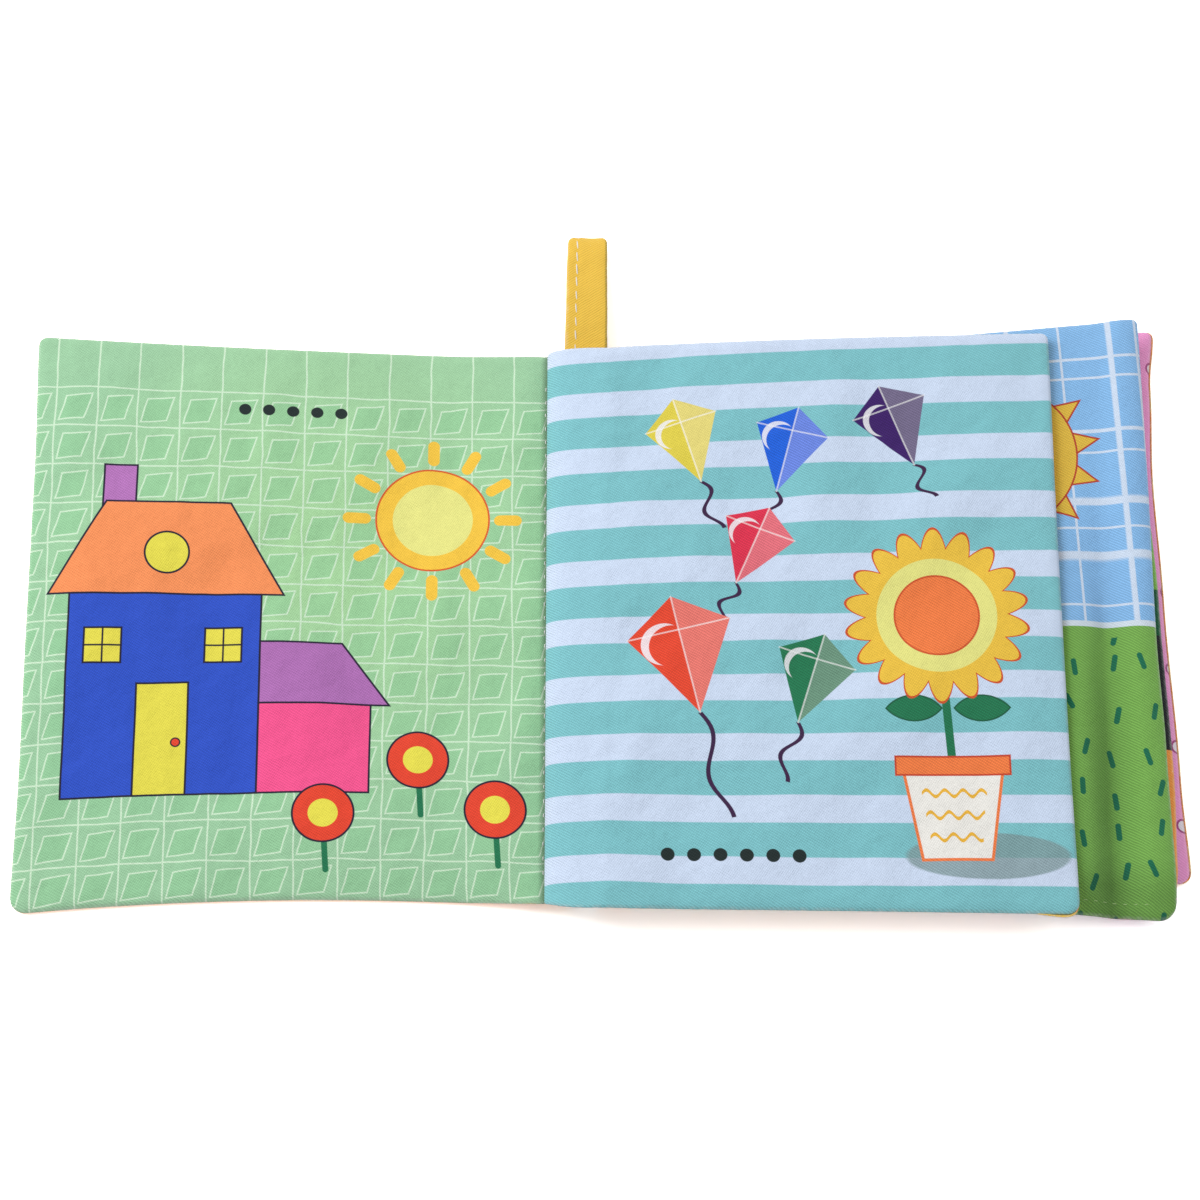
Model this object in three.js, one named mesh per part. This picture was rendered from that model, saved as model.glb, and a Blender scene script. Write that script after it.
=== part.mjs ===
import * as THREE from "three";

// A crinkle cloth book, lying open at its first spread with four leaves on the right.
// Every leaf is two printed cloth panels sewn round a crinkle film and a wadding sheet,
// with a flat stitched strip by which it hangs in the binding along the spine.
// Sizes are in millimetres. +Z is up, +Y runs to the top of the pages, and the origin is
// the middle of the binding on the surface that the book lies on.

// Build-up of one leaf
const LEAF_THICKNESS = 3.8;
const RIM_THICKNESS = 1.4;
const PANEL_CLOTH = 0.4;
const FILM_THICKNESS = 0.2;
const LAYER_GAP = 0.2;
const SEAM_GAP = 0.3;
const LEAF_GAP = 0.3;

// Turned edge and crown of a leaf. The shares say how the crown rises over its run.
const EDGE_ROUND = 0.5;
const TURNED_EDGE = 1.5;
const CROWN_RUN = 24;
const crownRunShares = [0.08, 0.25, 0.5, 1];
const crownRiseShares = [0.3, 0.62, 0.86, 1];
const fillingStationShares = [0.25, 1];

// Outline of the leaves
const SPINE_LENGTH = 154;
const FREE_CORNER_RADIUS = 7;
const SPINE_CORNER_RADIUS = 1.5;
const LEAST_RADIUS = 1;
const CORNER_STEPS = 3;
const SIDE_POINTS = 3;

// Reach of each leaf from the spine to its free edge, and the length of that free edge
const FRONT_COVER_REACH = 151;
const FIRST_LEAF_REACH = 127;
const SECOND_LEAF_REACH = 153.5;
const THIRD_LEAF_REACH = 155.5;
const BACK_COVER_REACH = 158;
const FRONT_COVER_LENGTH = 162;
const FIRST_LEAF_LENGTH = 161.5;
const SECOND_LEAF_LENGTH = 168.5;
const THIRD_LEAF_LENGTH = 163;
const BACK_COVER_LENGTH = 158;

// How far each free edge has slid towards the top of the page, and how far the filling
// draws the edges of each leaf in between the corners
const FRONT_COVER_SLIP = 4;
const FIRST_LEAF_SLIP = -0.5;
const SECOND_LEAF_SLIP = 3.2;
const THIRD_LEAF_SLIP = 4.5;
const BACK_COVER_SLIP = 8;
const COVER_DRAW_IN = 1.8;
const LEAF_DRAW_IN = 0.9;

// Where the filled part of each leaf starts, measured from the spine
const COVER_PAD_START = 12;
const FIRST_LEAF_PAD_START = 6;
const SECOND_LEAF_PAD_START = 8;
const THIRD_LEAF_PAD_START = 9;

// Hinge strips, the sewn roots of the leaves and the binding tape round those roots
const STRIP_THICKNESS = 0.8;
const STRIP_GAP = 0.25;
const STRIP_END_MARGIN = 0.5;
const STRIP_STEPS = 14;
const CREST_STEP = 1.75;
const SEAM_TOP = 8.4;
const SEAM_NOTCH = 1;
const BINDING_WALL = 0.6;
const BINDING_FLOOR = 0.8;
const BINDING_HEIGHT = 7.2;
const SEAT_GAP = 0.3;
const LEAF_COUNT = 5;

// The first leaf folds back on itself at the gutter, which lies left of the binding
const GUTTER_OFFSET = 10.4;
const GUTTER_HEIGHT = 6.9;

// Hanging loop: a folded strap that stands a little open
const STRAP_WIDTH = 11;
const STRAP_THICKNESS = 1;
const LOOP_REACH = 37;
const LOOP_OPENING = 6.2;
const LOOP_STEPS = 26;

const STRIP_PITCH = STRIP_THICKNESS + STRIP_GAP;
const LEAF_PITCH = LEAF_THICKNESS + LEAF_GAP;
const RIM_HALF = RIM_THICKNESS / 2;
const LEAF_HALF = LEAF_THICKNESS / 2;
const HINGE_HEIGHT = (LEAF_COUNT * LEAF_PITCH - LEAF_GAP) / 2;
const STRIP_START = SEAM_TOP + SEAT_GAP;

const GREEN_CLOTH = "#9ed19a";
const TEAL_CLOTH = "#86cbca";
const SKY_CLOTH = "#8fc4f2";
const LEAF_CLOTH = "#7dbb4e";
const PINK_CLOTH = "#e57fbf";
const ORANGE_CLOTH = "#f0a63c";
const YELLOW_CLOTH = "#f0c24b";
const FILM_COLOUR = "#dfe6ea";
const WADDING_COLOUR = "#f4f3ee";
const BINDING_COLOUR = "#e9eef6";
const SEAM_COLOUR = "#d6dde8";

function clothMaterial(colour) {
  return new THREE.MeshStandardMaterial({ color: colour, roughness: 0.85, metalness: 0 });
}

function filmMaterial() {
  return new THREE.MeshStandardMaterial({ color: FILM_COLOUR, roughness: 0.25, metalness: 0 });
}

function namedMesh(name, geometry, material) {
  const mesh = new THREE.Mesh(geometry, material);
  mesh.name = name;
  return mesh;
}

// The middle plane of a leaf that has `level` leaves beneath it
function middleHeight(level) {
  return LEAF_HALF + level * LEAF_PITCH;
}

// One closed line round a leaf, `inset` inside its edge and anticlockwise from above.
// The free corners are round, and the free sides are drawn in between them.
function leafOutline(leaf, inset) {
  const inner = leaf.padStart + inset;
  const outer = leaf.reach - inset;
  const spineHalf = SPINE_LENGTH / 2 - inset;
  const freeTop = leaf.slip + leaf.length / 2 - inset;
  const freeFoot = leaf.slip - leaf.length / 2 + inset;
  const freeRadius = Math.max(FREE_CORNER_RADIUS - inset, LEAST_RADIUS);
  const spineRadius = Math.max(SPINE_CORNER_RADIUS - inset, LEAST_RADIUS);
  const corners = [
    { x: outer, y: freeFoot, radius: freeRadius, start: -Math.PI / 2, drawIn: leaf.drawIn },
    { x: outer, y: freeTop, radius: freeRadius, start: 0, drawIn: leaf.drawIn },
    { x: inner, y: spineHalf, radius: spineRadius, start: Math.PI / 2, drawIn: 0 },
    { x: inner, y: -spineHalf, radius: spineRadius, start: Math.PI, drawIn: leaf.drawIn },
  ];
  const arcs = corners.map(({ x, y, radius, start }) => {
    const middle = start + Math.PI / 4;
    const centreX = x - Math.sign(Math.cos(middle)) * radius;
    const centreY = y - Math.sign(Math.sin(middle)) * radius;
    return Array.from({ length: CORNER_STEPS + 1 }, (_, step) => {
      const angle = start + ((Math.PI / 2) * step) / CORNER_STEPS;
      return new THREE.Vector2(centreX + radius * Math.cos(angle), centreY + radius * Math.sin(angle));
    });
  });
  const outline = [];
  arcs.forEach((arc, index) => {
    outline.push(...arc);
    const from = arc[CORNER_STEPS];
    const to = arcs[(index + 1) % arcs.length][0];
    const inward = new THREE.Vector2(from.y - to.y, to.x - from.x).normalize();
    for (let step = 1; step <= SIDE_POINTS; step += 1) {
      const share = step / (SIDE_POINTS + 1);
      const depth = 4 * share * (1 - share) * corners[index].drawIn;
      outline.push(from.clone().lerp(to, share).addScaledVector(inward, depth));
    }
  });
  return outline;
}

// A closed body swept through stations from its top middle to its underside middle.
// Each station is one outline of the leaf at an inset and a height.
function leafBody(leaf, stations, topHeight, footHeight) {
  const rings = stations.map(({ inset, height }) =>
    leafOutline(leaf, inset).map(({ x, y }) => [leaf.side * x, y, leaf.middle + height]),
  );
  const count = rings[0].length;
  const middleX = (leaf.side * (leaf.padStart + leaf.reach)) / 2;
  const middleY = leaf.slip / 2;
  const positions = rings.flat(2);
  const topPole = rings.length * count;
  const footPole = topPole + 1;
  positions.push(middleX, middleY, leaf.middle + topHeight);
  positions.push(middleX, middleY, leaf.middle + footHeight);
  const faces = [];
  for (let i = 0; i < count; i += 1) {
    const next = (i + 1) % count;
    faces.push([topPole, i, next]);
    for (let ring = 0; ring + 1 < rings.length; ring += 1) {
      const here = ring * count;
      const outward = here + count;
      faces.push([here + i, outward + i, outward + next]);
      faces.push([here + i, outward + next, here + next]);
    }
    const last = (rings.length - 1) * count;
    faces.push([last + next, last + i, footPole]);
  }
  const facing = leaf.side > 0 ? faces : faces.map(([a, b, c]) => [a, c, b]);
  const geometry = new THREE.BufferGeometry();
  geometry.setAttribute("position", new THREE.Float32BufferAttribute(positions, 3));
  geometry.setIndex(facing.flat());
  geometry.computeVertexNormals();
  return geometry;
}

// Stations of the crown, from the flat middle of the leaf out to its edge
const crownStations = crownRunShares
  .map((share, index) => ({
    inset: share * CROWN_RUN,
    height: RIM_HALF + (LEAF_HALF - RIM_HALF) * crownRiseShares[index],
  }))
  .reverse();

// The upper panel: its face, the turned edge that meets the lower panel, and its reverse
function upperPanelStations() {
  const reverse = crownStations.map(({ inset, height }) => ({ inset, height: height - PANEL_CLOTH }));
  return [
    ...crownStations,
    { inset: EDGE_ROUND, height: RIM_HALF },
    { inset: 0, height: SEAM_GAP / 2 },
    { inset: TURNED_EDGE, height: SEAM_GAP / 2 },
    ...reverse.reverse(),
  ];
}

function upperPanel(leaf) {
  return leafBody(leaf, upperPanelStations(), LEAF_HALF, LEAF_HALF - PANEL_CLOTH);
}

// The lower panel is the upper one turned over
function lowerPanel(leaf) {
  const stations = upperPanelStations()
    .map(({ inset, height }) => ({ inset, height: -height }))
    .reverse();
  return leafBody(leaf, stations, PANEL_CLOTH - LEAF_HALF, -LEAF_HALF);
}

// A sheet inside the leaf that lies `above` and `below` under the faces of the crown
function fillingSheet(leaf, topDepth, footDepth) {
  const edge = crownStations.filter(({ inset }) => fillingStationShares.includes(inset / CROWN_RUN));
  const top = edge.map(({ inset, height }) => ({ inset, height: topDepth(height) }));
  const foot = edge.map(({ inset, height }) => ({ inset, height: footDepth(height) })).reverse();
  return leafBody(leaf, [...top, ...foot], topDepth(LEAF_HALF), footDepth(LEAF_HALF));
}

function crinkleFilm(leaf) {
  const top = (height) => height - PANEL_CLOTH - LAYER_GAP;
  const foot = (height) => top(height) - FILM_THICKNESS;
  return fillingSheet(leaf, top, foot);
}

function wadding(leaf) {
  const top = (height) => height - PANEL_CLOTH - LAYER_GAP - FILM_THICKNESS - LAYER_GAP;
  const foot = (height) => PANEL_CLOTH + LAYER_GAP - height;
  return fillingSheet(leaf, top, foot);
}

// A ribbon of even thickness along a line in the XZ plane, extruded along the spine
function ribbonGeometry(line, thickness, length) {
  const sideOf = (index) => {
    const before = line[Math.max(index - 1, 0)];
    const after = line[Math.min(index + 1, line.length - 1)];
    const along = after.clone().sub(before).normalize();
    return new THREE.Vector2(-along.y, along.x).multiplyScalar(thickness / 2);
  };
  const oneSide = line.map((point, index) => point.clone().add(sideOf(index)));
  const otherSide = line.map((point, index) => point.clone().sub(sideOf(index)));
  const section = new THREE.Shape([...oneSide, ...otherSide.reverse()]);
  const geometry = new THREE.ExtrudeGeometry(section, { depth: length, bevelEnabled: false });
  geometry.translate(0, 0, -length / 2);
  geometry.rotateX(Math.PI / 2);
  return geometry;
}

// A strip leaves the seam, crests at the height of the hinge line or over the strips
// beneath it, and comes down to the middle of its pad's edge
function plainStripLine(leaf) {
  const rootX = leaf.slot * STRIP_PITCH;
  const padEdge = leaf.side * (leaf.padStart - SEAM_GAP);
  const crest = HINGE_HEIGHT + leaf.level * CREST_STEP;
  const shoulder = leaf.middle + leaf.shoulderShare * (crest - leaf.middle);
  const bend = new THREE.CubicBezierCurve(
    new THREE.Vector2(rootX, STRIP_START),
    new THREE.Vector2(rootX, crest),
    new THREE.Vector2((rootX + padEdge) / 2, shoulder),
    new THREE.Vector2(padEdge, leaf.middle),
  );
  return bend.getPoints(STRIP_STEPS);
}

// The strip of the leaf on top goes left over the front cover's strip to the gutter, and
// folds there to come back over the spine. Shares of x run from the spine (0) to the
// gutter (-1) and to the pad (1), shares of height from the fold (0) to the pad (1).
const gutterXShares = [-0.14, -0.3, -0.55, -0.8, -0.96, -1, -0.93, -0.72, -0.4, 0, 0.5, 1];
const gutterHeightShares = [0.48, 0.56, 0.41, 0.14, 0, 0.1, 0.27, 0.55, 0.82, 0.99, 1.04, 1];

function gutterStripLine(leaf) {
  const root = new THREE.Vector2(leaf.slot * STRIP_PITCH, STRIP_START);
  const padEdge = leaf.padStart - SEAM_GAP;
  const rise = leaf.middle - GUTTER_HEIGHT;
  const bends = gutterXShares.map((share, index) => {
    const x = share < 0 ? share * GUTTER_OFFSET : share * padEdge;
    return new THREE.Vector2(x, GUTTER_HEIGHT + gutterHeightShares[index] * rise);
  });
  return new THREE.SplineCurve([root, ...bends]).getPoints(2 * STRIP_STEPS);
}

function hingeStrip(leaf) {
  const line = leaf.foldsAtGutter ? gutterStripLine(leaf) : plainStripLine(leaf);
  return ribbonGeometry(line, STRIP_THICKNESS, SPINE_LENGTH - 2 * STRIP_END_MARGIN);
}

// Half the width of the sewn roots of all the leaves
const ROOTS_HALF = (LEAF_COUNT * STRIP_PITCH - STRIP_GAP) / 2;

// A profile in the XZ plane, extruded along the whole spine
function alongSpine(points) {
  const section = new THREE.Shape(points.map(([x, z]) => new THREE.Vector2(x, z)));
  const geometry = new THREE.ExtrudeGeometry(section, { depth: SPINE_LENGTH, bevelEnabled: false });
  geometry.translate(0, 0, -SPINE_LENGTH / 2);
  geometry.rotateX(Math.PI / 2);
  return geometry;
}

// The roots of the leaves, sewn together face to face, with a notch between each two
function spineSeam() {
  const foot = BINDING_FLOOR + SEAT_GAP;
  const half = STRIP_THICKNESS / 2;
  const edges = Array.from({ length: LEAF_COUNT }, (_, index) => {
    const x = ROOTS_HALF - half - index * STRIP_PITCH;
    return [
      [x + half, SEAM_TOP - SEAM_NOTCH],
      [x + half, SEAM_TOP - half],
      [x + half / 2, SEAM_TOP],
      [x - half / 2, SEAM_TOP],
      [x - half, SEAM_TOP - half],
      [x - half, SEAM_TOP - SEAM_NOTCH],
    ];
  });
  return alongSpine([[-ROOTS_HALF, foot], [ROOTS_HALF, foot], ...edges.flat()]);
}

// The binding tape: a trough that wraps the sewn roots
function spineBinding() {
  const inside = ROOTS_HALF + SEAT_GAP;
  const outside = inside + BINDING_WALL;
  const lip = BINDING_HEIGHT - BINDING_WALL;
  return alongSpine([
    [-outside, 0],
    [outside, 0],
    [outside, lip],
    [(outside + inside) / 2, BINDING_HEIGHT],
    [inside, lip],
    [inside, BINDING_FLOOR],
    [-inside, BINDING_FLOOR],
    [-inside, lip],
    [-(outside + inside) / 2, BINDING_HEIGHT],
    [-outside, lip],
  ]);
}

// The strap leaves the top end of the binding, opens like a drop and comes back over itself.
// Shares of y run along the loop's reach, shares of height up its opening.
const loopReachShares = [0, 0.3, 0.6, 0.85, 0.97, 0.97, 0.85, 0.6, 0.3, 0];
const loopHeightShares = [0.32, 0.12, 0, 0, 0.24, 0.76, 1, 1, 0.86, 0.6];

function hangingLoop() {
  const start = SPINE_LENGTH / 2 + SEAT_GAP;
  const centreRise = LOOP_OPENING + STRAP_THICKNESS;
  const turns = loopReachShares.map(
    (share, index) =>
      new THREE.Vector2(
        start + share * (LOOP_REACH - STRAP_THICKNESS / 2),
        STRAP_THICKNESS / 2 + loopHeightShares[index] * centreRise,
      ),
  );
  const line = new THREE.SplineCurve(turns).getPoints(LOOP_STEPS);
  const geometry = ribbonGeometry(line, STRAP_THICKNESS, STRAP_WIDTH);
  geometry.rotateZ(Math.PI / 2);
  return geometry;
}

const leaves = [
  {
    name: "front_cover",
    side: -1,
    level: 0,
    slot: -2,
    shoulderShare: 0.31,
    padStart: COVER_PAD_START,
    reach: FRONT_COVER_REACH,
    length: FRONT_COVER_LENGTH,
    slip: FRONT_COVER_SLIP,
    drawIn: COVER_DRAW_IN,
    upperColour: GREEN_CLOTH,
    lowerColour: ORANGE_CLOTH,
  },
  {
    name: "first_leaf",
    side: 1,
    level: 3,
    slot: -1,
    foldsAtGutter: true,
    padStart: FIRST_LEAF_PAD_START,
    reach: FIRST_LEAF_REACH,
    length: FIRST_LEAF_LENGTH,
    slip: FIRST_LEAF_SLIP,
    drawIn: LEAF_DRAW_IN,
    upperColour: TEAL_CLOTH,
    lowerColour: YELLOW_CLOTH,
  },
  {
    name: "second_leaf",
    side: 1,
    level: 2,
    slot: 0,
    shoulderShare: 0.86,
    padStart: SECOND_LEAF_PAD_START,
    reach: SECOND_LEAF_REACH,
    length: SECOND_LEAF_LENGTH,
    slip: SECOND_LEAF_SLIP,
    drawIn: LEAF_DRAW_IN,
    upperColour: SKY_CLOTH,
    lowerColour: PINK_CLOTH,
  },
  {
    name: "third_leaf",
    side: 1,
    level: 1,
    slot: 1,
    shoulderShare: 0.8,
    padStart: THIRD_LEAF_PAD_START,
    reach: THIRD_LEAF_REACH,
    length: THIRD_LEAF_LENGTH,
    slip: THIRD_LEAF_SLIP,
    drawIn: LEAF_DRAW_IN,
    upperColour: LEAF_CLOTH,
    lowerColour: TEAL_CLOTH,
  },
  {
    name: "back_cover",
    side: 1,
    level: 0,
    slot: 2,
    shoulderShare: 0.31,
    padStart: COVER_PAD_START,
    reach: BACK_COVER_REACH,
    length: BACK_COVER_LENGTH,
    slip: BACK_COVER_SLIP,
    drawIn: LEAF_DRAW_IN,
    upperColour: PINK_CLOTH,
    lowerColour: ORANGE_CLOTH,
  },
].map((leaf) => ({ ...leaf, middle: middleHeight(leaf.level) }));

const book = new THREE.Group();

for (const leaf of leaves) {
  const group = new THREE.Group();
  group.add(
    namedMesh(`${leaf.name}_upper_panel`, upperPanel(leaf), clothMaterial(leaf.upperColour)),
    namedMesh(`${leaf.name}_lower_panel`, lowerPanel(leaf), clothMaterial(leaf.lowerColour)),
    namedMesh(`${leaf.name}_crinkle_film`, crinkleFilm(leaf), filmMaterial()),
    namedMesh(`${leaf.name}_wadding`, wadding(leaf), clothMaterial(WADDING_COLOUR)),
    namedMesh(`${leaf.name}_hinge_strip`, hingeStrip(leaf), clothMaterial(leaf.upperColour)),
  );
  book.add(group);
}

book.add(
  namedMesh("spine_seam", spineSeam(), clothMaterial(SEAM_COLOUR)),
  namedMesh("spine_binding", spineBinding(), clothMaterial(BINDING_COLOUR)),
  namedMesh("hanging_loop", hangingLoop(), clothMaterial(YELLOW_CLOTH)),
);

export default book;
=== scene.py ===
import bmesh
import bpy
import math
import numpy as np
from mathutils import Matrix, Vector


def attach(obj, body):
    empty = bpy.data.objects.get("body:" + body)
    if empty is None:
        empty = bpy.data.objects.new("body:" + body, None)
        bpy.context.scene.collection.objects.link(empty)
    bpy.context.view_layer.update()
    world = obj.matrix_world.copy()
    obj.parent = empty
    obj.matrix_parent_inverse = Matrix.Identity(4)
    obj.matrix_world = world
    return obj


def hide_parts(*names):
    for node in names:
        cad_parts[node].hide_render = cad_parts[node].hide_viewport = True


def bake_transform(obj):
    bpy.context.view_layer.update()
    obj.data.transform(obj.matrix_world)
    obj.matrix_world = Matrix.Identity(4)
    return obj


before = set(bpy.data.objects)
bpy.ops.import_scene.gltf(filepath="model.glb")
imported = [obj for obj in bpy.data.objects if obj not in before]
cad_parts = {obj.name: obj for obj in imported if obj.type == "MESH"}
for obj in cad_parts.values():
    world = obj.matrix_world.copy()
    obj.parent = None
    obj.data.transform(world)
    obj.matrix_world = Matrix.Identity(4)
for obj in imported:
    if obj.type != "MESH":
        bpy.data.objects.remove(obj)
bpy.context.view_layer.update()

# CAMERA
# A long lens high over the foot of the open pages, so the book fills the width of the
# picture and its top edge looks a little shorter than its foot.
camera_elevation = math.radians(71.6)
camera_distance = 0.828
looks_at = Vector((0.0035, 0.0062, 0.008))
camera_back = Vector((0, -math.cos(camera_elevation), math.sin(camera_elevation)))
camera = bpy.data.objects.new("camera", bpy.data.cameras.new("camera"))
camera.data.lens, camera.data.sensor_width = 92.4, 36
camera.data.clip_start, camera.data.clip_end = 0.01, 10
camera.location = looks_at + camera_back * camera_distance
camera.rotation_euler = (-camera_back).to_track_quat("-Z", "Y").to_euler()
bpy.context.scene.collection.objects.link(camera)
bpy.context.scene.camera = camera

# FRONT COVER
# The left leaf, in millimetres. Two panels of printed polyester twill are sewn face to face
# along three sides, turned, filled with a crinkle film and a wadding sheet, and caught in
# the spine seam by a flat unfilled strip.
mm = 0.001
spine_half = 77.0
seam_top = 8.7
hinge_height = 10.1
cloth_thickness, film_thickness = 0.34, 0.06
leaf_half_thickness = 1.9
rim_half, strip_half = 0.62, 0.4
edge_run = 17
above_table = 0.02
far_from_edge = 9.0

# The strip runs from root over crest and shoulder to pad_start, where the filling begins.
# middle is the height of the filled part. top, foot, their dips, the radii and free_edge give
# its outline, and waves, rise, spine_run and soft_root how full and how rippled it is.
front_cover = dict(
    name="front_cover", parent="spine", side=-1, middle=1.9, root=-2.1, pad_start=12.0,
    crest=10.1, shoulder=6.2, reach=152.4, top=85.8, foot=-78.6,
    root_top=78.0, root_foot=-76.6, top_dip=0.95, foot_dip=3.0, radius=4.6, top_radius=2.6,
    free_edge=((-80, 152.0), (-40, 151.5), (0, 151.7), (45, 151.7), (85, 152.4)),
    seed=11, waves=0.8, rise=3.3, spine_run=14, soft_root=6,
)


def strip_line(leaf):
    """The middle line of a leaf's hinge strip, from the spine seam to the filled part, in X and Z."""
    start = np.array([leaf["root"], seam_top])
    end = np.array([leaf["side"] * leaf["pad_start"], leaf["middle"] + leaf.get("rise", 0)])
    pull = np.array([leaf["root"], leaf["crest"]])
    ease = np.array([(start[0] + end[0]) / 2, leaf["shoulder"]])
    t = np.linspace(0, 1, 16)[:, None]
    return (1 - t) ** 3 * start + 3 * t * (1 - t) ** 2 * pull + 3 * t**2 * (1 - t) * ease + t**3 * end


def run_along(line):
    """How far along a line each of its points lies."""
    return np.concatenate([[0], np.cumsum(np.linalg.norm(np.diff(line, axis=0), axis=1))])


def graded(length, middle_step, edge_step, both_ends=True):
    """Places along a length, closer together towards its sewn edges."""
    widening = 1.35
    places, step = [0.0], edge_step
    half = length / 2 if both_ends else length
    while places[-1] + step < half:
        places.append(places[-1] + step)
        step = min(step * widening, middle_step)
    from_edge = np.array(places)
    if both_ends:
        return np.concatenate([from_edge, [half], length - from_edge[::-1]])
    return length - np.append(from_edge, length)[::-1]


def ramp(distance, run):
    """Rises evenly from 0 to 1 over a run."""
    return np.clip(distance / run, 0, 1)


def bell(distance, width):
    """1 at no distance, falling off smoothly to both sides."""
    return np.exp(-((distance / width) ** 2))


def waves(x, y, length, seed, count=7):
    """Smooth uneven ripples of about one wave length, from -1 to 1."""
    rng = np.random.default_rng(seed)
    total = np.zeros_like(x)
    for _ in range(count):
        turn, phase, scale = rng.uniform(0, 2 * np.pi), rng.uniform(0, 2 * np.pi), rng.uniform(0.7, 1.5)
        total += np.sin((x * np.cos(turn) + y * np.sin(turn)) * 2 * np.pi * scale / length + phase)
    return total / math.sqrt(count) / 1.5


def leaf_layout(leaf, middle_step, edge_step, face=1):
    """Grid over one leaf: where each point lies on the flat leaf, and how far it is from the sewn edges."""
    strip = leaf.get("strip_line", strip_line)(leaf)
    strip_run = run_along(strip)
    pad_length = leaf["reach"] - leaf["pad_start"]
    pad_run = graded(pad_length, middle_step, edge_step, both_ends=False)
    pad_run = pad_run[pad_run > 1e-6]
    line_x = np.concatenate([strip[:, 0], leaf["side"] * (leaf["pad_start"] + pad_run)])
    line_z = np.concatenate([strip[:, 1], np.full(len(pad_run), leaf["middle"])])
    out = np.concatenate([strip_run - strip_run[-1], pad_run])
    share = ramp(np.abs(line_x) - leaf["pad_start"], pad_length)
    share[: len(strip)] = 0
    across = graded(2.0, middle_step / spine_half, edge_step / spine_half) - 1
    from_free = pad_length - out

    # The top and foot edges, with rounded corners. The lower cloth stays inside the upper one
    # along the strip, and may show a little beyond it at the foot and the free edge.
    corner_cuts = []
    for radius in (leaf.get("top_radius", leaf["radius"]), leaf["radius"]):
        corner = np.clip(1 - from_free / radius, 0, 1)
        corner_cuts.append(radius * (1 - np.sqrt(1 - corner**2)))
    bow = 4 * share * (1 - share)
    root_top, root_foot = leaf.get("root_top", spine_half), leaf.get("root_foot", -spine_half)
    top_share, foot_share = share ** leaf.get("top_bend", 0.7), share ** leaf.get("foot_bend", 0.8)
    top = root_top + (leaf["top"] - root_top) * top_share - leaf["top_dip"] * bow
    foot = root_foot + (leaf["foot"] - root_foot) * foot_share + leaf["foot_dip"] * bow
    print_top, print_foot = top[:, None], (foot + leaf.get("print_up", 0) * (1 - share) ** 3)[:, None]
    inside = 0.8 * ramp(-out, 3) if face < 0 else 0
    tucked = np.interp(-out, *leaf.get("tuck", ((0, 1), (0, 0))))
    top, foot = top - corner_cuts[0] - inside, foot + corner_cuts[1] + inside + tucked
    if face < 0 and leaf.get("foot_peek"):
        foot = foot - np.interp(share * pad_length + leaf["pad_start"], *leaf["foot_peek"])
    centre, half = (top + foot) / 2, (top - foot) / 2
    y = centre[:, None] + half[:, None] * across[None, :]

    # The free edge, eased from one measured place to the next.
    edge_y, edge_x = np.array(leaf["free_edge"]).T
    place = np.clip(np.interp(y[-1], edge_y, np.arange(len(edge_y))), 0, len(edge_y) - 1.001)
    knot = place.astype(int)
    ease = (1 - np.cos(np.pi * (place - knot))) / 2
    edge_line = edge_x[knot] * (1 - ease) + edge_x[knot + 1] * ease
    if face < 0:
        edge_line = edge_line + leaf.get("free_peek", 0)
    x_shift = leaf["side"] * np.outer(share**5, edge_line - leaf["reach"])
    return dict(
        line_x=line_x, line_z=line_z, out=out, share=share, across=across, y=y, x_shift=x_shift,
        up_page=(2 * y - print_top - print_foot) / (print_top - print_foot),
        to_free=np.maximum(from_free, 0)[:, None] * np.ones_like(y),
        to_side=half[:, None] * (1 - np.abs(across))[None, :],
        strip_count=len(strip), pad_length=pad_length,
    )


def grid_faces(rows, columns):
    """The four-cornered faces of a grid of points."""
    index = np.arange(rows * columns).reshape(rows, columns)
    return np.stack([index[:-1, :-1], index[1:, :-1], index[1:, 1:], index[:-1, 1:]], axis=2).reshape(-1, 4)


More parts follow.
